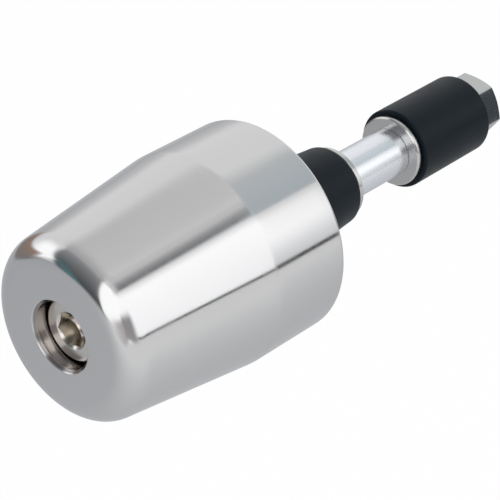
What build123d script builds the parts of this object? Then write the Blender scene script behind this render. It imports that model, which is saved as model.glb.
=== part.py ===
from build123d import *
from math import cos, radians, tan
import os

# An expanding bar end for a handlebar: a turned weight and a rubber plug on one long screw.
# It lies along X, with the nose of the weight towards -X and the plug towards +X.
# The weight's flat rear face, which meets the end of the bar, is at X = 0. Sizes in mm.

# Weight, turned from one bar of stainless steel
weight_diameter = 35.0
weight_length = 42.0
rear_cylinder_length = 14.4
nose_diameter = 28.6
nose_edge_radius = 4.0
crease_radius = 14.0
rear_edge_break = 0.45
bore_edge_break = 0.4
counterbore_edge_break = 0.5

# M6 socket head cap screw, its head sunk in the nose and its end just past the nut
screw_diameter = 6.0
head_diameter = 10.0
head_height = 6.0
head_below_nose = 2.2
head_edge_radius = 0.5
socket_across_flats = 5.0
socket_depth = 3.0
socket_mouth_margin = 0.1
socket_mouth_angle = 120.0
socket_drill_angle = 120.0
socket_turn = 16.0
screw_past_nut = 0.7
screw_tip_chamfer = 0.6

# Tapered rubber bush that centres the weight in the mouth of the bar
bush_length = 17.2
bush_root_diameter = 16.0
bush_tip_diameter = 13.2
bush_tip_rounding = 0.9

# Two plain washers, and the spacer tube between them
washer_diameter = 12.0
washer_thickness = 1.2
washer_bevel = 0.25
spacer_length = 13.7
spacer_wall = 0.8
spacer_edge_break = 0.15

# Rubber sleeve that swells in the bar when the nut is drawn up
sleeve_diameter = 13.6
sleeve_length = 17.2
sleeve_edge_break = 0.3

# M6 hexagon nut
nut_across_flats = 10.0
nut_thickness = 5.0
nut_face_diameter = 9.4
nut_chamfer_angle = 30.0
nut_chamfer_overrun = 0.2
nut_thread_countersink = 0.35
nut_turn = 38.0

# Radial clearances around the screw
bore_clearance = 0.3
counterbore_clearance = 0.3
washer_clearance = 0.2
spacer_clearance = 0.25
rubber_clearance = 0.2
thread_clearance = 0.05

# Places along X, each piece seated on the one before it
nose_x = -weight_length
head_top_x = nose_x + head_below_nose
head_seat_x = head_top_x + head_height
bush_end_x = bush_length
bush_washer_end_x = bush_end_x + washer_thickness
spacer_end_x = bush_washer_end_x + spacer_length
sleeve_washer_end_x = spacer_end_x + washer_thickness
sleeve_end_x = sleeve_washer_end_x + sleeve_length
nut_end_x = sleeve_end_x + nut_thickness
screw_end_x = nut_end_x + screw_past_nut

screw_radius = screw_diameter / 2
head_radius = head_diameter / 2


def turned(*corners):
    """A solid turned about X from its half section: each corner is x, radius and any rounding."""
    points = [corner[:2] for corner in corners]
    roundings = [sum(corner[2:]) for corner in corners]
    return revolve(make_face(FilletPolyline(*points, radius=roundings, close=True)), Axis.X)


def corner_radius(across_flats):
    """How far a hexagon's corners stand from its centre."""
    return across_flats / 2 / cos(radians(30))


def hexagon_bar(start_x, length, across_flats, turn):
    """A hexagon bar along X, one corner turned that many degrees from +Z towards -Y."""
    section = RegularPolygon(corner_radius(across_flats), 6, rotation=90 + turn)
    return extrude(Plane.YZ.offset(start_x) * section, length)


def weight_body():
    """Rounded nose, taper and rear cylinder, with a stepped hole that sinks the screw's head."""
    radius = weight_diameter / 2
    bore = screw_radius + bore_clearance
    counterbore = head_radius + counterbore_clearance
    return turned(
        (nose_x, counterbore + counterbore_edge_break),
        (nose_x, nose_diameter / 2, nose_edge_radius),
        (-rear_cylinder_length, radius, crease_radius),
        (-rear_edge_break, radius),
        (0, radius - rear_edge_break),
        (0, bore + bore_edge_break),
        (-bore_edge_break, bore),
        (head_seat_x, bore),
        (head_seat_x, counterbore),
        (nose_x + counterbore_edge_break, counterbore),
    )


def key_socket():
    """The hexagon socket for a key, countersunk at its mouth, with the drill's point below it."""
    flat_radius = socket_across_flats / 2
    mouth_radius = corner_radius(socket_across_flats) + socket_mouth_margin
    mouth_depth = mouth_radius / tan(radians(socket_mouth_angle / 2))
    floor_x = head_top_x + socket_depth
    drill_depth = flat_radius / tan(radians(socket_drill_angle / 2))
    mouth = turned((head_top_x, 0), (head_top_x, mouth_radius), (head_top_x + mouth_depth, 0))
    drill_point = turned((floor_x, 0), (floor_x, flat_radius), (floor_x + drill_depth, 0))
    hexagon_hole = hexagon_bar(head_top_x, socket_depth, socket_across_flats, socket_turn)
    return hexagon_hole + mouth + drill_point


def cap_screw():
    """Cylindrical head on the counterbore's floor, and a shank that runs out through the nut."""
    blank = turned(
        (head_top_x, 0),
        (head_top_x, head_radius, head_edge_radius),
        (head_seat_x, head_radius),
        (head_seat_x, screw_radius),
        (screw_end_x - screw_tip_chamfer, screw_radius),
        (screw_end_x, screw_radius - screw_tip_chamfer),
        (screw_end_x, 0),
    )
    return blank - key_socket()


def root_bush():
    """Rubber cone, widest where it stands on the weight's rear face."""
    bore = screw_radius + rubber_clearance
    return turned(
        (0, bore),
        (0, bush_root_diameter / 2),
        (bush_end_x, bush_tip_diameter / 2, bush_tip_rounding),
        (bush_end_x, bore),
    )


def washer(start_x):
    """Plain washer with both rims bevelled."""
    radius = washer_diameter / 2
    bore = screw_radius + washer_clearance
    end_x = start_x + washer_thickness
    return turned(
        (start_x, bore),
        (start_x, radius - washer_bevel),
        (start_x + washer_bevel, radius),
        (end_x - washer_bevel, radius),
        (end_x, radius - washer_bevel),
        (end_x, bore),
    )


def spacer_tube():
    """Tube on the screw that keeps the two rubbers apart."""
    bore = screw_radius + spacer_clearance
    radius = bore + spacer_wall
    return turned(
        (bush_washer_end_x, bore),
        (bush_washer_end_x, radius - spacer_edge_break),
        (bush_washer_end_x + spacer_edge_break, radius),
        (spacer_end_x - spacer_edge_break, radius),
        (spacer_end_x, radius - spacer_edge_break),
        (spacer_end_x, bore),
    )


def expander_sleeve():
    """Straight rubber sleeve between the second washer and the nut."""
    bore = screw_radius + rubber_clearance
    radius = sleeve_diameter / 2
    return turned(
        (sleeve_washer_end_x, bore),
        (sleeve_washer_end_x, radius - sleeve_edge_break),
        (sleeve_washer_end_x + sleeve_edge_break, radius),
        (sleeve_end_x - sleeve_edge_break, radius),
        (sleeve_end_x, radius - sleeve_edge_break),
        (sleeve_end_x, bore),
    )


def hex_nut():
    """Hexagon bar chamfered round both faces, with a countersunk hole that runs on the screw."""
    bore = screw_radius + thread_clearance
    face_radius = nut_face_diameter / 2
    blank_radius = corner_radius(nut_across_flats) + nut_chamfer_overrun
    chamfer = (blank_radius - face_radius) * tan(radians(nut_chamfer_angle))
    chamfered = turned(
        (sleeve_end_x, bore + nut_thread_countersink),
        (sleeve_end_x, face_radius),
        (sleeve_end_x + chamfer, blank_radius),
        (nut_end_x - chamfer, blank_radius),
        (nut_end_x, face_radius),
        (nut_end_x, bore + nut_thread_countersink),
        (nut_end_x - nut_thread_countersink, bore),
        (sleeve_end_x + nut_thread_countersink, bore),
    )
    return chamfered & hexagon_bar(sleeve_end_x, nut_thickness, nut_across_flats, nut_turn)


pieces = {
    "weight_body": weight_body(),
    "cap_screw": cap_screw(),
    "root_bush": root_bush(),
    "bush_washer": washer(bush_end_x),
    "spacer_tube": spacer_tube(),
    "sleeve_washer": washer(spacer_end_x),
    "expander_sleeve": expander_sleeve(),
    "hex_nut": hex_nut(),
}

os.makedirs("parts", exist_ok=True)
for name, solid in pieces.items():
    export_step(solid, f"parts/{name}.step")
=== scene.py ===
"""The looks of an expanding bar end: weight, socket screw, rubber plug, washers, tube and nut."""

from collections import namedtuple
from math import ceil, cos, pi, radians, sin, tan

import bmesh
import bpy
from bpy.props import FloatProperty, FloatVectorProperty, IntProperty, PointerProperty
from mathutils import Matrix, Vector


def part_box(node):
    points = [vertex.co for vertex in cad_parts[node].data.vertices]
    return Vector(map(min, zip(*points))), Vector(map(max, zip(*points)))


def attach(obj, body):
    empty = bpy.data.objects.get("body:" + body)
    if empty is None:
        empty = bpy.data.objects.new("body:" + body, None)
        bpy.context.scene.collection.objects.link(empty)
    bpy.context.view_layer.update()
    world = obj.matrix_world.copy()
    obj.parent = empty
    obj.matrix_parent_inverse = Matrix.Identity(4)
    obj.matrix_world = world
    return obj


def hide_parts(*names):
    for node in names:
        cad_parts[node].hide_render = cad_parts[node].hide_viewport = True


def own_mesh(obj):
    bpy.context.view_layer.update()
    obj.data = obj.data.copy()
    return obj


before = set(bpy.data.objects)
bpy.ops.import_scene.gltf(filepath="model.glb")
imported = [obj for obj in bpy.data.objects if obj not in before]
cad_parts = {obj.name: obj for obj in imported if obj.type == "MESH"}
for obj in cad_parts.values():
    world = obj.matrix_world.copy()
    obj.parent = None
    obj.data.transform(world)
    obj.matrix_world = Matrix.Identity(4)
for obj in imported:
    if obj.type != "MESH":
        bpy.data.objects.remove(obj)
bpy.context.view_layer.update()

bl_info = {
    "name": "Expanding Bar End",
    "version": (1, 0, 0),
    "blender": (4, 5, 0),
    "location": "View3D > Sidebar > Bar End",
    "description": "Turns the pieces of an expanding bar end and sets them on a pale stage",
    "category": "Object",
}

# Every piece is turned about X, from the nose of the weight at -X to the nut at +X.
# Lengths are in metres.
AXIS = Vector((1.0, 0.0, 0.0))
MERGE_DISTANCE = 1e-7
SHARP_EDGE = radians(28)
ROUNDING_STEP = radians(4)
FEWEST_ROUNDING_SEGMENTS = 4
LONGEST_STRETCH = 0.002
HEXAGON = 6
NEARLY_ALONG = 0.9

Span = namedtuple("Span", "start end radius")


def span(node):
    """Where a node of the frame starts and ends along X, and its outer radius."""
    low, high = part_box(node)
    return Span(low.x, high.x, high.z)


def length(name, description, default):
    """A property that holds a length."""
    return FloatProperty(
        name=name, description=description, default=default, min=0.0, precision=5, unit="LENGTH"
    )


def share(name, description, default):
    """A property that holds a number from 0 to 1."""
    return FloatProperty(
        name=name, description=description, default=default, min=0.0, max=1.0, subtype="FACTOR"
    )


def angle(name, description, degrees):
    """A property that holds an angle."""
    return FloatProperty(
        name=name, description=description, default=radians(degrees), subtype="ANGLE"
    )


def colour(name, description, default):
    """A property that holds a colour."""
    return FloatVectorProperty(
        name=name, description=description, default=default, min=0.0, max=1.0, subtype="COLOR"
    )


class WeightSizes(bpy.types.PropertyGroup):
    """The turned weight's outline, beside the length and diameter that the frame gives."""

    nose_diameter: length("Nose", "Diameter at the nose, before its edge is rounded", 0.0286)
    nose_rounding: length("Nose edge", "Radius of the nose's rounded edge", 0.004)
    rear_length: length("Rear cylinder", "Length of the straight rear part", 0.0144)
    crease_rounding: length("Crease", "Radius where the taper meets the rear cylinder", 0.008)
    rear_break: length("Rear edge", "Bevel of the rear face's edge", 0.00045)
    rear_rounding: length("Rear edge polish", "Radius that polishing leaves on that bevel", 0.0006)
    counterbore: length("Counterbore", "Diameter of the hole that sinks the screw's head", 0.0106)
    counterbore_break: length("Counterbore edge", "Bevel at the counterbore's mouth", 0.0005)
    bore: length("Bore", "Diameter of the hole for the screw", 0.0066)
    bore_break: length("Bore edge", "Bevel where the bore leaves the rear face", 0.0004)


class ScrewSizes(bpy.types.PropertyGroup):
    """The socket head cap screw."""

    diameter: length("Shank", "Diameter of the shank and of the thread", 0.006)
    head_height: length("Head height", "Height of the cylindrical head", 0.006)
    head_rounding: length("Head edge", "Radius of the head's top edge", 0.0005)
    socket: length("Socket", "Width of the hexagon socket across its flats", 0.005)
    socket_depth: length("Socket depth", "Depth of the socket's flats", 0.003)
    socket_mouth: length("Socket mouth", "Diameter of the bevel round the socket", 0.00597)
    socket_cone: angle("Socket cones", "Angle of the mouth's bevel and of the drill's point", 120)
    socket_turn: angle("Socket turn", "Turn of a socket corner from straight up", 16)
    pitch: length("Pitch", "Pitch of the thread", 0.001)
    thread_length: length("Thread", "Length of the thread behind the screw's end", 0.0105)
    tip_bevel: length("Tip bevel", "Bevel round the screw's end", 0.0006)


class PlugSizes(bpy.types.PropertyGroup):
    """The rubbers, washers, tube and nut that the screw carries."""

    rubber_bore: length("Rubber bore", "Diameter of the hole through both rubbers", 0.0064)
    bush_tip: length("Bush tip", "Diameter of the bush at its small end", 0.0132)
    bush_tip_rounding: length("Bush edge", "Radius of the edge at the bush's small end", 0.0009)
    bush_root_rounding: length("Bush root", "Radius of the edge on the weight's rear face", 0.00015)
    sleeve_rounding: length("Sleeve edge", "Radius of both edges of the sleeve", 0.0004)
    washer_bore: length("Washer bore", "Diameter of the hole in a washer", 0.0064)
    washer_bevel: length("Washer bevel", "Bevel round a washer's rims", 0.00025)
    spacer_bore: length("Spacer bore", "Inner diameter of the spacer tube", 0.0065)
    spacer_break: length("Spacer edge", "Bevel of the spacer's ends", 0.00015)
    nut_width: length("Nut", "Width of the nut across its flats", 0.01)
    nut_face: length("Nut face", "Diameter of the round face inside the nut's chamfer", 0.0094)
    nut_chamfer: angle("Nut chamfer", "Angle of the chamfer round the nut's faces", 30)
    nut_bore: length("Nut bore", "Diameter of the hole in the nut", 0.0061)
    nut_countersink: length("Nut countersink", "Bevel where the hole leaves the faces", 0.00035)
    nut_turn: angle("Nut turn", "Turn of a nut corner from straight up", 38)
    nut_rounding: length("Nut edges", "Radius of the edges between the nut's flats", 0.0002)


class Finishes(bpy.types.PropertyGroup):
    """Colours and polish of the surfaces, with painted light on the nose face and painted shade in
    the counterbore.
    """

    edge_rounding: length("Edge", "Radius that polishing leaves on a turned edge", 0.00007)
    turning_steps: IntProperty(
        name="Steps", description="Steps of one turn round the axis", default=256, min=24, max=512
    )
    weight_colour: colour("Weight", "Polished stainless steel", (0.6, 0.6, 0.605))
    weight_roughness: share("Weight polish", "Roughness of the polished weight", 0.11)
    line_roughness: share("Crease polish", "Roughness of the fine line along the crease", 0.16)
    # The nose face's colour is the weight's steel painted lighter, as painted light; its rougher
    # satin polish is real.
    face_painted_light_colour: colour("Nose face", "The nose's flat face", (0.65, 0.647, 0.647))
    face_roughness: share("Nose face polish", "Roughness of the nose's flat face", 0.26)
    # The mouth's colour is painted shade: the weight's steel made much darker on the counterbore's
    # bevel.
    mouth_painted_shade_colour: colour("Mouth", "The bevel round the counterbore", (0.26, 0.25, 0.245))
    mouth_roughness: share("Mouth polish", "Roughness of that bevel", 0.2)
    # The counterbore's colour is painted shade: the weight's steel made darker and browner in the
    # hole, where the screw's head shades it.
    hole_painted_shade_colour: colour("Counterbore", "The hole that sinks the screw's head", (0.5, 0.46, 0.44))
    hole_roughness: share("Counterbore polish", "Roughness of the counterbore", 0.18)
    screw_colour: colour("Screw", "Plain stainless steel", (0.62, 0.6, 0.575))
    screw_roughness: share("Screw polish", "Roughness of the screw", 0.2)
    # The socket's colour is the screw's steel made browner and a little darker.
    socket_colour: colour("Socket", "Browner steel in the key socket", (0.6, 0.54, 0.46))
    socket_roughness: share("Socket polish", "Roughness in the key socket", 0.22)
    rubber_colour: colour("Rubber", "Black moulded rubber", (0.003, 0.0078, 0.013))
    rubber_roughness: share("Rubber gloss", "Roughness of the rubber", 0.4)
    washer_colour: colour("Washers", "Bright steel", (0.53, 0.525, 0.52))
    washer_roughness: share("Washer polish", "Roughness of the washers", 0.16)
    spacer_colour: colour("Spacer", "Drawn aluminium", (0.77, 0.795, 0.83))
    spacer_roughness: share("Spacer polish", "Roughness of the tube", 0.27)
    nut_colour: colour("Nut", "Zinc plated steel", (0.46, 0.465, 0.467))
    nut_roughness: share("Nut polish", "Roughness of the nut", 0.1)


class StageSettings(bpy.types.PropertyGroup):
    """The camera, the floor and the level of the light."""

    azimuth: angle("Azimuth", "Turn of the camera round the part, from the -Y side", -47.76)
    elevation: angle("Elevation", "How far the camera looks down", 31.25)
    distance: length("Distance", "From the camera to the point that it looks at", 0.315)
    aim: FloatVectorProperty(
        name="Aim", description="Point that the camera looks at",
        default=(-0.0023, -0.0003, -0.0033), subtype="TRANSLATION", unit="LENGTH", precision=5,
    )
    lens: FloatProperty(
        name="Lens", description="Focal length", default=146.97, min=1.0, unit="CAMERA"
    )
    floor_drop: length("Floor", "How far the floor lies below the weight", 0.2)
    floor_size: length("Floor size", "Width of the floor", 6.0)
    floor_colour: colour("Floor colour", "Pale floor", (0.85, 0.85, 0.86))
    backdrop: FloatProperty(
        name="Backdrop", description="Level of the white backdrop", default=1.0, min=0.0
    )
    fill: FloatProperty(
        name="Fill", description="Level of the light from all round", default=0.6, min=0.0
    )


class BarEndSettings(bpy.types.PropertyGroup):
    """All the sizes and colours of the bar end."""

    weight: PointerProperty(type=WeightSizes)
    screw: PointerProperty(type=ScrewSizes)
    plug: PointerProperty(type=PlugSizes)
    finish: PointerProperty(type=Finishes)
    stage: PointerProperty(type=StageSettings)


def settings():
    """The bar end's settings in this scene."""
    return bpy.context.scene.bar_end


# Shapes


def corner_turn(before, at, after):
    """How far an outline turns at a corner."""
    return (at - before).angle(after - at)


def turned(corners, steps, closed=True):
    """A shell turned about X. Each corner of its outline is x, radius and any rounding."""
    bm = bmesh.new()
    places = [Vector((corner[0], 0.0, corner[1])) for corner in corners]
    verts = [bm.verts.new(place) for place in places]
    pairs = list(zip(verts, verts[1:]))
    if closed:
        pairs.append((verts[-1], verts[0]))
    for pair in pairs:
        bm.edges.new(pair)
    for i, corner in enumerate(corners):
        if len(corner) > 2:
            turn = corner_turn(places[i - 1], places[i], places[(i + 1) % len(places)])
            round_corner(bm, verts[i], corner[2], turn)
    add_supports(bm)
    bmesh.ops.spin(
        bm, geom=bm.verts[:] + bm.edges[:], cent=(0, 0, 0), axis=AXIS, angle=2 * pi, steps=steps,
        use_merge=True,
    )
    return closed_shell(bm)


def round_corner(bm, vert, rounding, turn):
    """Rounds one corner of an outline with an arc of that radius."""
    bmesh.ops.bevel(
        bm, geom=[vert], affect="VERTICES", offset_type="OFFSET",
        offset=rounding * tan(turn / 2),
        segments=max(FEWEST_ROUNDING_SEGMENTS, ceil(turn / ROUNDING_STEP)),
        profile=0.5, material=-1,
    )


def add_supports(bm):
    """Divides long straight stretches of an outline, so that their shading stays straight."""
    for edge in bm.edges[:]:
        cuts = int(edge.calc_length() / LONGEST_STRETCH)
        if cuts:
            bmesh.ops.subdivide_edges(bm, edges=[edge], cuts=cuts)


def closed_shell(bm):
    """Merges a shell's seams and turns its faces outwards."""
    bmesh.ops.remove_doubles(bm, verts=bm.verts, dist=MERGE_DISTANCE)
    bmesh.ops.dissolve_degenerate(bm, edges=bm.edges, dist=MERGE_DISTANCE)
    bmesh.ops.recalc_face_normals(bm, faces=bm.faces)
    return bm


def corner_radius(across_flats):
    """How far a hexagon's corners stand from its centre."""
    return across_flats / 2 / cos(pi / HEXAGON)


def hexagon_bar(start, end, across_flats, turn):
    """A hexagon bar along X, one corner turned that far from straight up."""
    corner = corner_radius(across_flats)
    bm = turned(((start, 0.0), (start, corner), (end, corner), (end, 0.0)), HEXAGON, closed=False)
    bmesh.ops.rotate(bm, verts=bm.verts, cent=(0, 0, 0), matrix=Matrix.Rotation(turn, 3, "X"))
    return bm


def long_edges(bm):
    """The edges of a hexagon bar that run along it, between its flats."""
    widest = max(vert.co.yz.length for vert in bm.verts)
    return [
        edge for edge in bm.edges
        if all(vert.co.yz.length > widest - MERGE_DISTANCE for vert in edge.verts)
        and abs((edge.verts[1].co - edge.verts[0].co).normalized().x) > NEARLY_ALONG
    ]


def shell_object(bm, name):
    """Puts a shell into the scene as an object at the origin."""
    mesh = bpy.data.meshes.new(name)
    bm.to_mesh(mesh)
    bm.free()
    obj = bpy.data.objects.new(name, mesh)
    bpy.context.scene.collection.objects.link(obj)
    return obj


def combine(base, tool, operation):
    """Cuts one closed shell out of another, joins the two or keeps what they share."""
    base_object, tool_object = shell_object(base, "base"), shell_object(tool, "tool")
    modifier = base_object.modifiers.new("combine", "BOOLEAN")
    modifier.operation = operation
    modifier.solver = "MANIFOLD"
    modifier.object = tool_object
    evaluated = base_object.evaluated_get(bpy.context.evaluated_depsgraph_get())
    mesh = bpy.data.meshes.new_from_object(evaluated)
    result = bmesh.new()
    result.from_mesh(mesh)
    for obj in (base_object, tool_object):
        shell = obj.data
        bpy.data.objects.remove(obj)
        bpy.data.meshes.remove(shell)
    bpy.data.meshes.remove(mesh)
    if not result.faces:
        raise RuntimeError(f"{operation.lower()} left nothing")
    return closed_shell(result)


def fill_open_ends(bm):
    """Closes the openings that a cut leaves."""
    bmesh.ops.holes_fill(bm, edges=[edge for edge in bm.edges if edge.is_boundary], sides=0)
    return closed_shell(bm)


def add_piece(bm, name, body, node, material):
    """Makes a finished piece that stands for one node of the frame and moves with its body."""
    piece = shell_object(bm, name)
    piece.data.shade_smooth()
    piece.data.set_sharp_from_angle(angle=SHARP_EDGE)
    piece.data.materials.append(material)
    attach(piece, body)
    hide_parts(node)
    return piece


# Materials

# The part of a noise's range that most of it lies in.
NOISE_LOW, NOISE_HIGH = 0.3, 0.7

# What the tool leaves on turned metal: the width and depth of its rings, and the spread of tone.
Turning = namedtuple("Turning", "ring_width ring_depth spread")
WEIGHT_TURNING = Turning(0.00011, 1.2e-7, 0.012)
SCREW_TURNING = Turning(0.00016, 3e-7, 0.04)
WASHER_TURNING = Turning(0.00014, 3e-7, 0.03)
NUT_TURNING = Turning(0.0002, 3e-7, 0.03)

# Its broad bands and its patches, and how far the polish follows them.
BAND_RINGS, BAND_POLISH = 14, (0.9, 1.1)
PATCH_SIZE, PATCH_POLISH = 0.009, (0.92, 1.08)

# Lines that the die leaves on a drawn tube: their number to a metre along X, Y and Z, their depth,
# and how far the tone and the polish follow them.
DRAWN_LINES, DRAWN_DETAIL, DRAWN_DEPTH = (15.0, 2400.0, 2400.0), 1.0, 2e-7
DRAWN_SPREAD, DRAWN_POLISH = 0.03, (0.85, 1.15)

# The grain of a rubber's skin, the larger clouds of its bloom, and its shine.
GRAIN_SIZE, GRAIN_DETAIL, GRAIN_DEPTH, GRAIN_GLOSS = 0.00025, 4.0, 4e-6, (0.95, 1.05)
BLOOM_SIZE, BLOOM_SPREAD, BLOOM_GLOSS = 0.004, 0.15, (0.9, 1.1)
RUBBER_SPECULAR = 0.15


def new_material(name):
    """An empty node material and its node tree."""
    material = bpy.data.materials.new(name)
    material.use_nodes = True
    material.node_tree.nodes.clear()
    return material, material.node_tree


def add_node(tree, kind, inputs=None, **options):
    """Adds a node. An input is a value, or the output socket of another node."""
    node = tree.nodes.new(kind)
    for name, value in options.items():
        setattr(node, name, value)
    for key, value in (inputs or {}).items():
        if isinstance(value, bpy.types.NodeSocket):
            tree.links.new(value, node.inputs[key])
        else:
            node.inputs[key].default_value = value
    return node


def maths(tree, operation, *values):
    """A Math node's result."""
    node = add_node(tree, "ShaderNodeMath", dict(enumerate(values)), operation=operation)
    return node.outputs[0]


def blend(tree, factor, first, second, data_type="RGBA"):
    """A mix of two colours, or of two numbers."""
    node = add_node(
        tree, "ShaderNodeMix", {"Factor": factor, "A": first, "B": second}, data_type=data_type
    )
    return node.outputs["Result"]


def ramp(tree, value, start, end):
    """A number that rises softly from 0 at one value to 1 at another."""
    node = add_node(
        tree, "ShaderNodeMapRange", {"Value": value, "From Min": start, "From Max": end},
        interpolation_type="SMOOTHSTEP",
    )
    return node.outputs[0]


def scaled(rgb, level=1.0):
    """A colour at another level, with its alpha."""
    return (rgb[0] * level, rgb[1] * level, rgb[2] * level, 1.0)


def texture_place(tree, kind):
    """A place on a surface, as texture coordinates of that kind."""
    return add_node(tree, "ShaderNodeTexCoord").outputs[kind]


def split(tree, place):
    """The X, Y and Z of a place."""
    return add_node(tree, "ShaderNodeSeparateXYZ", {0: place}).outputs


def axis_place(tree, place):
    """The x of a place, and its radius from the axis."""
    apart = split(tree, place)
    across = maths(tree, "MULTIPLY", apart["Y"], apart["Y"])
    squares = maths(tree, "MULTIPLY_ADD", apart["Z"], apart["Z"], across)
    return apart["X"], maths(tree, "SQRT", squares)


def ring_noise(tree, along, ring_width, detail=2.0):
    """Uneven rings round the axis, as a tool leaves them."""
    count = maths(tree, "DIVIDE", along, ring_width)
    noise = add_node(
        tree, "ShaderNodeTexNoise", {"W": count, "Scale": 1.0, "Detail": detail},
        noise_dimensions="1D",
    )
    return noise.outputs[0]


def cloud_noise(tree, place, size, detail=3.0):
    """Soft uneven patches of about that size."""
    noise = add_node(
        tree, "ShaderNodeTexNoise", {"Vector": place, "Scale": 1.0 / size, "Detail": detail}
    )
    return noise.outputs[0]


def between(tree, factor, low, high):
    """A number that follows a noise from low to high."""
    spread = add_node(
        tree, "ShaderNodeMapRange",
        {
            "Value": factor, "From Min": NOISE_LOW, "From Max": NOISE_HIGH,
            "To Min": low, "To Max": high,
        },
    )
    return spread.outputs[0]


def tone(tree, factor, rgb, spread):
    """A colour that follows a noise, a little darker to a little lighter."""
    return blend(tree, factor, scaled(rgb, 1 - spread), scaled(rgb, 1 + spread))


def bump(tree, height, depth):
    """A normal from a height of that depth."""
    return add_node(
        tree, "ShaderNodeBump", {"Height": height, "Strength": 1.0, "Distance": depth}
    ).outputs[0]


def finish_surface(tree, **inputs):
    """The surface shader and the material's output."""
    shader = add_node(tree, "ShaderNodeBsdfPrincipled", inputs)
    add_node(tree, "ShaderNodeOutputMaterial", {"Surface": shader.outputs[0]})


# Part of a turned surface with a colour and roughness of its own; on the weight's nose face and
# counterbore that colour is painted light or painted shade. It lies between two places along X
# and nearer the axis than a radius, as far as these are given, and its edges fade over a short way.
Zone = namedtuple("Zone", "start end radius fade rgb roughness")


def inside_zone(tree, zone, x, radius):
    """1 inside a zone, and 0 outside it."""
    limits = ((x, zone.start, 1), (x, zone.end, -1), (radius, zone.radius, -1))
    inside = 1.0
    for value, limit, way in limits:
        if limit is not None:
            reached = ramp(tree, value, limit, limit + way * zone.fade)
            inside = maths(tree, "MULTIPLY", inside, reached)
    return inside


def turned_metal(name, rgb, roughness, turning, zones=()):
    """Turned metal: fine rings in the polish, and faint patches of tone."""
    material, tree = new_material(name)
    place = texture_place(tree, "Object")
    x, radius = axis_place(tree, place)
    along = maths(tree, "ADD", x, radius)
    rings = ring_noise(tree, along, turning.ring_width)
    bands = ring_noise(tree, along, turning.ring_width * BAND_RINGS)
    patches = cloud_noise(tree, place, PATCH_SIZE)
    polish = maths(
        tree, "MULTIPLY", between(tree, bands, *BAND_POLISH), between(tree, patches, *PATCH_POLISH)
    )
    shade = tone(tree, patches, rgb, turning.spread)
    # A zone's colour may be painted light or painted shade, as on the weight's nose face and
    # counterbore.
    for zone in zones:
        inside = inside_zone(tree, zone, x, radius)
        shade = blend(tree, inside, shade, tone(tree, patches, zone.rgb, turning.spread))
        roughness = blend(tree, inside, roughness, zone.roughness, "FLOAT")
    finish_surface(
        tree,
        **{
            "Base Color": shade,
            "Metallic": 1.0,
            "Roughness": maths(tree, "MULTIPLY", polish, roughness),
            "Normal": bump(tree, rings, turning.ring_depth),
        },
    )
    return material


def drawn_metal(name, rgb, roughness):
    """Drawn tube: faint lines along X, left by the die."""
    material, tree = new_material(name)
    place = texture_place(tree, "Object")
    stretched = add_node(tree, "ShaderNodeMapping", {"Vector": place, "Scale": DRAWN_LINES})
    lines = cloud_noise(tree, stretched.outputs[0], 1.0, DRAWN_DETAIL)
    finish_surface(
        tree,
        **{
            "Base Color": tone(tree, lines, rgb, DRAWN_SPREAD),
            "Metallic": 1.0,
            "Roughness": maths(tree, "MULTIPLY", between(tree, lines, *DRAWN_POLISH), roughness),
            "Normal": bump(tree, lines, DRAWN_DEPTH),
        },
    )
    return material


def moulded_rubber(name, rgb, roughness):
    """Moulded rubber: a fine skin, slightly cloudy where it has bloomed."""
    material, tree = new_material(name)
    place = texture_place(tree, "Object")
    grain = cloud_noise(tree, place, GRAIN_SIZE, GRAIN_DETAIL)
    bloom = cloud_noise(tree, place, BLOOM_SIZE)
    gloss = maths(
        tree, "MULTIPLY", between(tree, grain, *GRAIN_GLOSS), between(tree, bloom, *BLOOM_GLOSS)
    )
    finish_surface(
        tree,
        **{
            "Base Color": tone(tree, bloom, rgb, BLOOM_SPREAD),
            "Roughness": maths(tree, "MULTIPLY", gloss, roughness),
            "Normal": bump(tree, grain, GRAIN_DEPTH),
            "Specular IOR Level": RUBBER_SPECULAR,
        },
    )
    return material


# Pieces

# Zones on the weight: painted light on the nose's face, painted shade on the counterbore's mouth
# and hole, and a rougher line on the crease. The face's begins inside the nose's edge and reaches a
# little behind the face, the hole's takes a share of the mouth's bevel, and the line lies on both
# sides of the crease.
FACE_MARGIN, FACE_DEPTH, FACE_FADE = 0.0018, 0.0008, 0.002
MOUTH_FADE = 0.0002
HOLE_SHARE, HOLE_FADE = 0.1, 0.00005
LINE_REACH, LINE_FADE = 0.0002, 0.00015

# The zone in the screw's socket reaches out to a share of the socket's width, and the tools that
# cut it start above the head by a share of its depth.
SOCKET_SHARE, SOCKET_FADE = 0.54, 0.0004
SOCKET_TOOL_RISE = 0.25

# The screw's thread: steps in a turn, and its depth and flats as shares of the pitch.
THREAD_STEPS = 64
THREAD_DEPTH = 0.613
ROOT_FLAT, CREST_FLAT = 0.25, 0.125
THREAD_MERGE_DISTANCE = 1e-6


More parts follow.
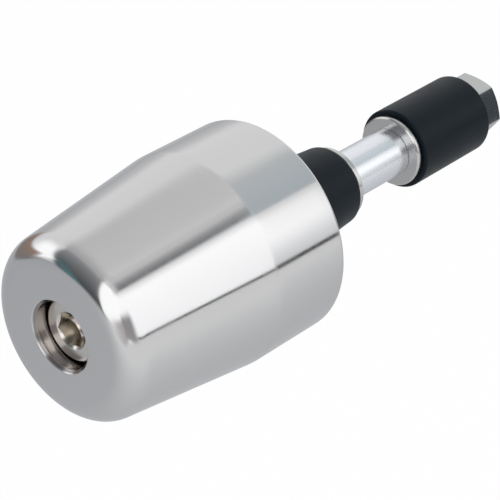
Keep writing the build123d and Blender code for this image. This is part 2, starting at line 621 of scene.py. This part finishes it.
class BAREND_OT_weight(bpy.types.Operator):
    """Turn the stainless weight, with its rounded nose, taper and stepped hole"""

    bl_idname = "bar_end.weight"
    bl_label = "Turn the Weight"

    def execute(self, context):
        sizes, finish = settings().weight, settings().finish
        edge = finish.edge_rounding
        weight, screw = span("weight_body"), span("cap_screw")
        seat = screw.start + settings().screw.head_height
        crease = weight.end - sizes.rear_length
        bore, counterbore = sizes.bore / 2, sizes.counterbore / 2
        outline = (
            (weight.start, counterbore + sizes.counterbore_break, edge),
            (weight.start, sizes.nose_diameter / 2, sizes.nose_rounding),
            (crease, weight.radius, sizes.crease_rounding),
            (weight.end - sizes.rear_break, weight.radius, sizes.rear_rounding),
            (weight.end, weight.radius - sizes.rear_break, sizes.rear_rounding),
            (weight.end, bore + sizes.bore_break, edge),
            (weight.end - sizes.bore_break, bore, edge),
            (seat, bore),
            (seat, counterbore),
            (weight.start + sizes.counterbore_break, counterbore, edge),
        )
        material = turned_metal(
            "polished_stainless", finish.weight_colour, finish.weight_roughness, WEIGHT_TURNING,
            self.zones(weight, crease, seat),
        )
        shell = turned(outline, finish.turning_steps)
        add_piece(shell, "weight", "weight", "weight_body", material)
        return {"FINISHED"}

    def zones(self, weight, crease, seat):
        """Painted light on the nose's face, painted shade on the counterbore's mouth and hole, and
        the fine line on the crease.
        """
        sizes, finish = settings().weight, settings().finish
        counterbore, bevel = sizes.counterbore / 2, sizes.counterbore_break
        # The face zone paints light on the nose's face.
        face = Zone(
            None, weight.start + FACE_DEPTH, sizes.nose_diameter / 2 - FACE_MARGIN, FACE_FADE,
            finish.face_painted_light_colour, finish.face_roughness,
        )
        # The mouth and hole zones paint shade in the counterbore.
        mouth = Zone(
            None, seat, counterbore + bevel, MOUTH_FADE,
            finish.mouth_painted_shade_colour, finish.mouth_roughness,
        )
        hole = Zone(
            None, seat, counterbore + HOLE_SHARE * bevel, HOLE_FADE,
            finish.hole_painted_shade_colour, finish.hole_roughness,
        )
        line = Zone(
            crease - LINE_REACH, crease + LINE_REACH, None, LINE_FADE,
            finish.weight_colour, finish.line_roughness,
        )
        return face, mouth, hole, line


class BAREND_OT_screw(bpy.types.Operator):
    """Make the cap screw: head with its key socket, shank and threaded end"""

    bl_idname = "bar_end.screw"
    bl_label = "Make the Screw"

    def execute(self, context):
        sizes, finish = settings().screw, settings().finish
        screw = span("cap_screw")
        thread_start = screw.end - sizes.thread_length
        shell = combine(self.blank(screw, thread_start), self.thread(screw, thread_start), "UNION")
        for tool in self.socket_tools(screw):
            shell = combine(shell, tool, "DIFFERENCE")
        # The socket zone colours the key socket browner and a little darker than the screw.
        socket = Zone(
            None, screw.start + sizes.head_height, SOCKET_SHARE * sizes.socket, SOCKET_FADE,
            finish.socket_colour, finish.socket_roughness,
        )
        material = turned_metal(
            "screw_stainless", finish.screw_colour, finish.screw_roughness, SCREW_TURNING, (socket,)
        )
        add_piece(shell, "socket_screw", "screw", "cap_screw", material)
        return {"FINISHED"}

    def blank(self, screw, thread_start):
        """Head and plain shank, necked down where the thread starts."""
        sizes, finish = settings().screw, settings().finish
        seat = screw.start + sizes.head_height
        shank = sizes.diameter / 2
        neck = shank - sizes.pitch
        outline = (
            (screw.start, 0.0),
            (screw.start, screw.radius, sizes.head_rounding),
            (seat, screw.radius, finish.edge_rounding),
            (seat, shank),
            (thread_start, shank),
            (thread_start + sizes.pitch, neck),
            (thread_start + 2 * sizes.pitch, neck),
            (thread_start + 2 * sizes.pitch, 0.0),
        )
        return turned(outline, finish.turning_steps, closed=False)

    def thread(self, screw, thread_start):
        """The thread's V section carried along its helix, cut square and bevelled at the tip."""
        sizes = settings().screw
        pitch, crest = sizes.pitch, sizes.diameter / 2
        root = crest - THREAD_DEPTH * pitch
        flank = (1.0 - ROOT_FLAT - CREST_FLAT) / 2
        section = (
            (0.0, root),
            (ROOT_FLAT, root),
            (ROOT_FLAT + flank, crest),
            (1.0 - flank, crest),
            (1.0, root),
        )
        first = thread_start - pitch
        turns = ceil((screw.end - first) / pitch) + 1
        bm = bmesh.new()
        verts = [bm.verts.new((first + along * pitch, 0.0, radius)) for along, radius in section]
        for pair in zip(verts, verts[1:]):
            bm.edges.new(pair)
        bmesh.ops.spin(
            bm, geom=bm.verts[:] + bm.edges[:], cent=(0, 0, 0), axis=AXIS, angle=2 * pi * turns,
            dvec=AXIS * (pitch / THREAD_STEPS), steps=THREAD_STEPS * turns,
        )
        bmesh.ops.remove_doubles(bm, verts=bm.verts, dist=THREAD_MERGE_DISTANCE)
        for place, facing in ((thread_start, -AXIS), (screw.end, AXIS)):
            bmesh.ops.bisect_plane(
                bm, geom=bm.verts[:] + bm.edges[:] + bm.faces[:], plane_co=AXIS * place,
                plane_no=facing, clear_outer=True,
            )
        for vert in bm.verts:
            widest = crest - sizes.tip_bevel + (screw.end - vert.co.x)
            radius = vert.co.yz.length
            if radius > widest:
                vert.co.yz *= widest / radius
        return fill_open_ends(bm)

    def socket_tools(self, screw):
        """What cuts the key socket: its mouth's cone, the hexagon and the drill's point."""
        sizes, finish = settings().screw, settings().finish
        floor = screw.start + sizes.socket_depth
        slope = tan(sizes.socket_cone / 2)
        mouth, drill = sizes.socket_mouth / 2, sizes.socket / 2
        above = SOCKET_TOOL_RISE * sizes.socket_depth
        cone = (
            (screw.start - above, 0.0),
            (screw.start - above, mouth + above * slope),
            (screw.start + mouth / slope, 0.0),
        )
        point = (
            (floor - above, 0.0),
            (floor - above, drill),
            (floor, drill),
            (floor + drill / slope, 0.0),
        )
        return (
            turned(cone, finish.turning_steps, closed=False),
            hexagon_bar(screw.start - above, floor, sizes.socket, sizes.socket_turn),
            turned(point, finish.turning_steps, closed=False),
        )


class BAREND_OT_rubbers(bpy.types.Operator):
    """Mould the tapered bush and the straight sleeve, leaving out how they flatten as the nut is
    drawn up
    """

    bl_idname = "bar_end.rubbers"
    bl_label = "Mould the Rubbers"

    def execute(self, context):
        sizes, finish = settings().plug, settings().finish
        bush, sleeve = span("root_bush"), span("expander_sleeve")
        bore = sizes.rubber_bore / 2
        cone = (
            (bush.start, bore),
            (bush.start, bush.radius, sizes.bush_root_rounding),
            (bush.end, sizes.bush_tip / 2, sizes.bush_tip_rounding),
            (bush.end, bore),
        )
        straight = (
            (sleeve.start, bore),
            (sleeve.start, sleeve.radius, sizes.sleeve_rounding),
            (sleeve.end, sleeve.radius, sizes.sleeve_rounding),
            (sleeve.end, bore),
        )
        material = moulded_rubber("black_rubber", finish.rubber_colour, finish.rubber_roughness)
        for name, node, body, joint, place, outline in (
            ("rubber_bush", "root_bush", "weight", "stack_shift", bush, cone),
            ("rubber_sleeve", "expander_sleeve", "stack", "nut_draw", sleeve, straight),
        ):
            shell = turned(outline, finish.turning_steps)
            piece = add_piece(shell, name, body, node, material)
            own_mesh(piece)
        return {"FINISHED"}


class BAREND_OT_washers(bpy.types.Operator):
    """Stamp the two plain washers"""

    bl_idname = "bar_end.washers"
    bl_label = "Stamp the Washers"

    def execute(self, context):
        sizes, finish = settings().plug, settings().finish
        edge, bevel, bore = finish.edge_rounding, sizes.washer_bevel, sizes.washer_bore / 2
        material = turned_metal(
            "washer_steel", finish.washer_colour, finish.washer_roughness, WASHER_TURNING
        )
        for name, node in (
            ("washer_on_bush", "bush_washer"),
            ("washer_on_sleeve", "sleeve_washer"),
        ):
            place = span(node)
            outline = (
                (place.start, bore, edge),
                (place.start, place.radius - bevel, edge),
                (place.start + bevel, place.radius, edge),
                (place.end - bevel, place.radius, edge),
                (place.end, place.radius - bevel, edge),
                (place.end, bore, edge),
            )
            shell = turned(outline, finish.turning_steps)
            add_piece(shell, name, "stack", node, material)
        return {"FINISHED"}


class BAREND_OT_spacer(bpy.types.Operator):
    """Cut the drawn spacer tube"""

    bl_idname = "bar_end.spacer"
    bl_label = "Cut the Spacer"

    def execute(self, context):
        sizes, finish = settings().plug, settings().finish
        place, bore, bevel = span("spacer_tube"), sizes.spacer_bore / 2, sizes.spacer_break
        outline = (
            (place.start, bore),
            (place.start, place.radius - bevel),
            (place.start + bevel, place.radius, finish.edge_rounding),
            (place.end - bevel, place.radius, finish.edge_rounding),
            (place.end, place.radius - bevel),
            (place.end, bore),
        )
        material = drawn_metal("spacer_aluminium", finish.spacer_colour, finish.spacer_roughness)
        shell = turned(outline, finish.turning_steps)
        add_piece(shell, "drawn_spacer", "stack", "spacer_tube", material)
        return {"FINISHED"}


class BAREND_OT_nut(bpy.types.Operator):
    """Make the hexagon nut, chamfered round both faces"""

    bl_idname = "bar_end.nut"
    bl_label = "Make the Nut"

    def execute(self, context):
        sizes, finish = settings().plug, settings().finish
        place = span("hex_nut")
        face, bore, sink = sizes.nut_face / 2, sizes.nut_bore / 2, sizes.nut_countersink
        widest = corner_radius(sizes.nut_width) + sink
        chamfer = (widest - face) * tan(sizes.nut_chamfer)
        outline = (
            (place.start, bore + sink),
            (place.start, face),
            (place.start + chamfer, widest),
            (place.end - chamfer, widest),
            (place.end, face),
            (place.end, bore + sink),
            (place.end - sink, bore),
            (place.start + sink, bore),
        )
        bar = hexagon_bar(place.start - sink, place.end + sink, sizes.nut_width, sizes.nut_turn)
        bmesh.ops.bevel(
            bar, geom=long_edges(bar), affect="EDGES", offset_type="OFFSET",
            offset=sizes.nut_rounding * tan(pi / HEXAGON), segments=FEWEST_ROUNDING_SEGMENTS,
            profile=0.5, material=-1,
        )
        shell = combine(turned(outline, finish.turning_steps), bar, "INTERSECT")
        material = turned_metal("nut_steel", finish.nut_colour, finish.nut_roughness, NUT_TURNING)
        add_piece(shell, "hexagon_nut", "nut", "hex_nut", material)
        return {"FINISHED"}


# Stage

WHITE = (1.0, 1.0, 1.0)

# How many rows a sheet of the stage is divided into, and where the camera's view begins.
SHEET_ROWS = 32
CAMERA_CLIP = 0.01

# How white the floor glows to the camera and in mirrors. Mirrors see painted shade on it, the
# part's shadow and the fall-off of the light: its painted shade colour behind the part and white in
# front, on a slant between two places. Its own colour has faint patches.
FLOOR_SEEN, FLOOR_MIRRORED = 0.985, 0.9
FLOOR_PAINTED_SHADE_COLOUR = (0.545, 0.56, 0.58)
FLOOR_FAR, FLOOR_NEAR, FLOOR_SLANT = 0.25, -0.55, 0.4
FLOOR_PATCH, FLOOR_SPREAD = 0.15, 0.01

# A card of the studio: its centre, its size, the azimuth that it stands at, how much of it fades
# out at left, right, bottom and top, its elevation and roll, how wide its bottom is beside its
# top, its level, and its colours at the bottom and top.
Card = namedtuple(
    "Card", "name centre width height azimuth fades elevation roll narrowing level low high",
    defaults=(0, 0, 1, 1.0, WHITE, WHITE),
)

STUDIO_CARDS = (
    Card(
        "side_softbox", (0.175, -0.6, 0.402), width=1.55, height=0.8, azimuth=-90, roll=2,
        level=1.66, low=(0.88, 0.88, 0.885), fades=(0.3, 0.05, 0.0, 0.31),
    ),
    Card(
        "softbox_corner", (0.6, -0.596, 0.12), width=0.7, height=0.36, azimuth=-90, roll=2,
        low=(0.93, 0.945, 0.96), fades=(0.1, 0.26, 0.0, 1.0),
    ),
    Card(
        "softbox_rim", (0.02, -0.594, -0.0056), width=0.72, height=0.026, azimuth=-90, roll=2,
        level=0.03, fades=(0.05, 0.35, 0.0, 0.0),
    ),
    Card(
        "softbox_rim_end", (0.475, -0.594, -0.0507), width=0.31, height=0.046, azimuth=-90,
        roll=13.5, level=0.05, fades=(0.25, 0.1, 0.25, 0.0),
    ),
    Card(
        "softbox_flag", (0.25, -0.59, 0.982), width=1.4, height=0.42, azimuth=-90, roll=-2,
        low=(0.2, 0.203, 0.215), high=(0.68, 0.68, 0.68), fades=(0.1, 0.35, 0.03, 0.35),
    ),
    Card(
        "upper_wall", (0.2, -0.64, 1.3), width=2.4, height=1.0, azimuth=-90,
        low=(0.68, 0.675, 0.675), high=(0.87, 0.865, 0.86), fades=(0.2, 0.4, 0.0, 0.2),
    ),
    Card(
        "camera_flag", (-0.575, -0.575, 0.135), width=0.98, height=0.44, azimuth=-90, roll=-3,
        low=(0.48, 0.45, 0.45), high=(0.36, 0.355, 0.38), fades=(0.24, 0.0, 0.1, 0.35),
    ),
    Card(
        "tripod_flag", (-0.849, -0.39, -0.055), width=0.4, height=1.1, azimuth=-158, roll=62,
        low=(0.98, 0.95, 0.94), high=(0.38, 0.37, 0.38), fades=(0.2, 0.25, 0.4, 0.0),
    ),
    Card(
        "front_softbox", (-0.881, -0.356, 0.541), width=1.2, height=1.35, azimuth=-158,
        level=1.6, fades=(0.05, 0.05, 0.03, 0.1),
    ),
    Card(
        "dark_wall", (-0.508, 0.217, 0.792), width=1.839, height=1.89, azimuth=162,
        narrowing=0.13, low=(0.05, 0.055, 0.06), high=(0.785, 0.79, 0.81),
        fades=(0.06, 0.14, 0.07, 0.3),
    ),
    Card(
        "blue_card", (-0.367, 0.225, 0.06), width=0.12, height=0.32, azimuth=146, roll=-14,
        low=(0.14, 0.27, 0.28), high=(0.08, 0.14, 0.16), fades=(0.4, 0.4, 0.2, 0.4),
    ),
    Card(
        "back_softbox", (-0.175, 0.4185, 0.172), width=0.35, height=0.5, azimuth=108, roll=-34,
        level=1.6, fades=(0.12, 0.6, 0.1, 0.5),
    ),
    Card(
        "low_card", (-0.06, 0.41, 0.0), width=0.62, height=0.18, azimuth=98,
        low=(0.25, 0.255, 0.26), high=(0.42, 0.27, 0.2), fades=(0.2, 0.25, 0.15, 0.2),
    ),
    Card(
        "far_table", (0.45, 0.78, 0.115), width=1.1, height=0.47, azimuth=60,
        low=(0.5, 0.505, 0.52), high=(0.92, 0.92, 0.925), fades=(0.2, 0.2, 0.0, 0.5),
    ),
    Card(
        "overhead", (0.1, 0.135, 0.8), width=1.1, height=1.37, azimuth=90, elevation=90,
        low=(0.73, 0.72, 0.715), high=(0.87, 0.858, 0.85), fades=(0.2, 0.25, 0.3, 0.33),
    ),
    Card(
        "overhead_shade", (-0.18, 0.13, 0.79), width=1.05, height=0.94, azimuth=180,
        elevation=90, roll=21, low=(0.5, 0.5, 0.505), high=(0.76, 0.755, 0.75),
        fades=(0.15, 0.2, 0.25, 0.7),
    ),
    Card(
        "overhead_end", (0.87, -0.2, 0.79), width=0.9, height=0.9, azimuth=90, elevation=90,
        low=(0.74, 0.75, 0.755), high=(0.57, 0.65, 0.69), fades=(0.15, 0.1, 0.35, 0.1),
    ),
    Card(
        "nut_flag", (0.165, -0.105, 0.0065), width=0.045, height=0.05, azimuth=-43.5,
        level=0.117, low=(0.75, 0.88, 1.0), high=(0.75, 0.88, 1.0), fades=(0.1, 0.1, 0.1, 0.1),
    ),
)


def eye_rays(tree):
    """1 for rays straight from the camera, and 1 for those that a mirror or glass sends on."""
    path = add_node(tree, "ShaderNodeLightPath").outputs
    mirrored = maths(tree, "MAXIMUM", path["Is Glossy Ray"], path["Is Transmission Ray"])
    return path["Is Camera Ray"], mirrored


def mix_shaders(tree, factor, first, second):
    """A mix of two shaders."""
    inputs = {0: factor, 1: first.outputs[0], 2: second.outputs[0]}
    return add_node(tree, "ShaderNodeMixShader", inputs).outputs[0]


def card_material(card):
    """A glowing card that fades out towards its edges."""
    material, tree = new_material(card.name)
    apart = split(tree, texture_place(tree, "UV"))
    left, right, bottom, top = card.fades
    shown = 1.0
    for place, edge, faded in (
        (apart["X"], 0.0, left),
        (apart["X"], 1.0, right),
        (apart["Y"], 0.0, bottom),
        (apart["Y"], 1.0, top),
    ):
        if faded:
            part = ramp(tree, place, edge, abs(edge - faded))
            shown = maths(tree, "MULTIPLY", shown, part)
    tint = blend(tree, apart["Y"], scaled(card.low), scaled(card.high))
    glow = add_node(tree, "ShaderNodeEmission", {"Color": tint, "Strength": card.level})
    clear = add_node(tree, "ShaderNodeBsdfTransparent")
    mix = mix_shaders(tree, shown, clear, glow)
    add_node(tree, "ShaderNodeOutputMaterial", {"Surface": mix})
    return material


def stand(card):
    """Places a unit square as a card that faces the part from its side, seen upright."""
    azimuth, elevation = radians(card.azimuth), radians(card.elevation)
    away = Vector(
        (cos(elevation) * cos(azimuth), cos(elevation) * sin(azimuth), sin(elevation))
    )
    right = Vector((sin(azimuth), -cos(azimuth), 0.0))
    up = right.cross(away)
    basis = Matrix((right, up, -away)).transposed().to_4x4()
    roll = Matrix.Rotation(radians(card.roll), 4, "Z")
    size = Matrix.Diagonal((card.width, card.height, 1.0, 1.0))
    return Matrix.Translation(card.centre) @ basis @ roll @ size


def add_sheet(name, place, material, narrowing=1.0):
    """A flat sheet of the stage, from a unit square whose bottom may be narrower than its top."""
    bm = bmesh.new()
    bm.loops.layers.uv.new("UVMap")
    bmesh.ops.create_grid(bm, x_segments=1, y_segments=SHEET_ROWS, size=0.5, calc_uvs=True)
    for vert in bm.verts:
        vert.co.x *= narrowing + (1.0 - narrowing) * (vert.co.y + 0.5)
    bmesh.ops.transform(bm, matrix=place, verts=bm.verts)
    sheet = shell_object(bm, name)
    sheet.data.materials.append(material)
    return sheet


class BAREND_OT_stage(bpy.types.Operator):
    """Set the pale floor, the studio's cards, the backdrop and the camera"""

    bl_idname = "bar_end.stage"
    bl_label = "Set the Stage"

    def execute(self, context):
        self.lay_floor()
        for card in STUDIO_CARDS:
            sheet = add_sheet(card.name, stand(card), card_material(card), card.narrowing)
            sheet.visible_camera = False
        self.hang_backdrop(context.scene)
        self.place_camera(context.scene)
        context.scene.view_settings.view_transform = "Standard"
        return {"FINISHED"}

    def lay_floor(self):
        """A pale floor that looks white to the eye and keeps a faint shadow; mirrors see painted
        shade on it behind the part.
        """
        stage = settings().stage
        material, tree = new_material("pale_floor_painted_shade")
        direct, mirrored = eye_rays(tree)
        whitened = maths(
            tree, "MAXIMUM",
            maths(tree, "MULTIPLY", direct, FLOOR_SEEN),
            maths(tree, "MULTIPLY", mirrored, FLOOR_MIRRORED),
        )
        place = texture_place(tree, "Object")
        apart = split(tree, place)
        # Painted shade for mirrors: darker behind the part and white towards the softbox's side;
        # the camera always sees white.
        away = maths(tree, "MULTIPLY_ADD", apart["X"], FLOOR_SLANT, apart["Y"])
        painted_light = maths(tree, "MAXIMUM", ramp(tree, away, FLOOR_FAR, FLOOR_NEAR), direct)
        glow = blend(tree, painted_light, scaled(FLOOR_PAINTED_SHADE_COLOUR), scaled(WHITE))
        patches = cloud_noise(tree, place, FLOOR_PATCH)
        shade = tone(tree, patches, stage.floor_colour, FLOOR_SPREAD)
        matt = add_node(tree, "ShaderNodeBsdfDiffuse", {"Color": shade})
        white = add_node(tree, "ShaderNodeEmission", {"Color": glow, "Strength": stage.backdrop})
        mix = mix_shaders(tree, whitened, matt, white)
        add_node(tree, "ShaderNodeOutputMaterial", {"Surface": mix})
        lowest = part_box("weight_body")[0].z - stage.floor_drop
        size = Matrix.Diagonal((stage.floor_size, stage.floor_size, 1.0, 1.0))
        add_sheet("floor", Matrix.Translation((0.0, 0.0, lowest)) @ size, material)

    def hang_backdrop(self, scene):
        """A white backdrop all round, and an even fill of light."""
        stage = settings().stage
        world = bpy.data.worlds.new("studio")
        world.use_nodes = True
        tree = world.node_tree
        tree.nodes.clear()
        seen = maths(tree, "MAXIMUM", *eye_rays(tree))
        fill = add_node(tree, "ShaderNodeBackground", {"Strength": stage.fill})
        white = add_node(
            tree, "ShaderNodeBackground", {"Color": scaled(WHITE), "Strength": stage.backdrop}
        )
        mix = mix_shaders(tree, seen, fill, white)
        add_node(tree, "ShaderNodeOutputWorld", {"Surface": mix})
        scene.world = world

    def place_camera(self, scene):
        """The camera at the viewing angle of the settings."""
        stage = settings().stage
        back = Vector((
            sin(stage.azimuth) * cos(stage.elevation),
            -cos(stage.azimuth) * cos(stage.elevation),
            sin(stage.elevation),
        ))
        camera = bpy.data.cameras.new("camera")
        camera.lens = stage.lens
        camera.clip_start = CAMERA_CLIP
        holder = bpy.data.objects.new("camera", camera)
        holder.location = Vector(stage.aim) + back * stage.distance
        holder.rotation_euler = back.to_track_quat("Z", "Y").to_euler()
        scene.collection.objects.link(holder)
        scene.camera = holder


class BAREND_PT_panel(bpy.types.Panel):
    """The bar end's pieces and stage"""

    bl_idname = "BAREND_PT_panel"
    bl_label = "Bar End"
    bl_space_type = "VIEW_3D"
    bl_region_type = "UI"
    bl_category = "Bar End"

    def draw(self, context):
        for operator in OPERATORS:
            self.layout.operator(operator.bl_idname)
        bar_end = context.scene.bar_end
        for group in (bar_end.weight, bar_end.screw, bar_end.plug, bar_end.finish, bar_end.stage):
            box = self.layout.box()
            for name in group.__annotations__:
                box.prop(group, name)


GROUPS = (WeightSizes, ScrewSizes, PlugSizes, Finishes, StageSettings, BarEndSettings)
OPERATORS = (
    BAREND_OT_weight,
    BAREND_OT_screw,
    BAREND_OT_rubbers,
    BAREND_OT_washers,
    BAREND_OT_spacer,
    BAREND_OT_nut,
    BAREND_OT_stage,
)
CLASSES = GROUPS + OPERATORS + (BAREND_PT_panel,)


def register():
    for item in CLASSES:
        bpy.utils.register_class(item)
    bpy.types.Scene.bar_end = PointerProperty(type=BarEndSettings)


def unregister():
    del bpy.types.Scene.bar_end
    for item in reversed(CLASSES):
        bpy.utils.unregister_class(item)


def main():
    register()
    bpy.ops.bar_end.weight()
    bpy.ops.bar_end.screw()
    bpy.ops.bar_end.rubbers()
    bpy.ops.bar_end.washers()
    bpy.ops.bar_end.spacer()
    bpy.ops.bar_end.nut()
    bpy.ops.bar_end.stage()


if __name__ == "__main__":
    main()
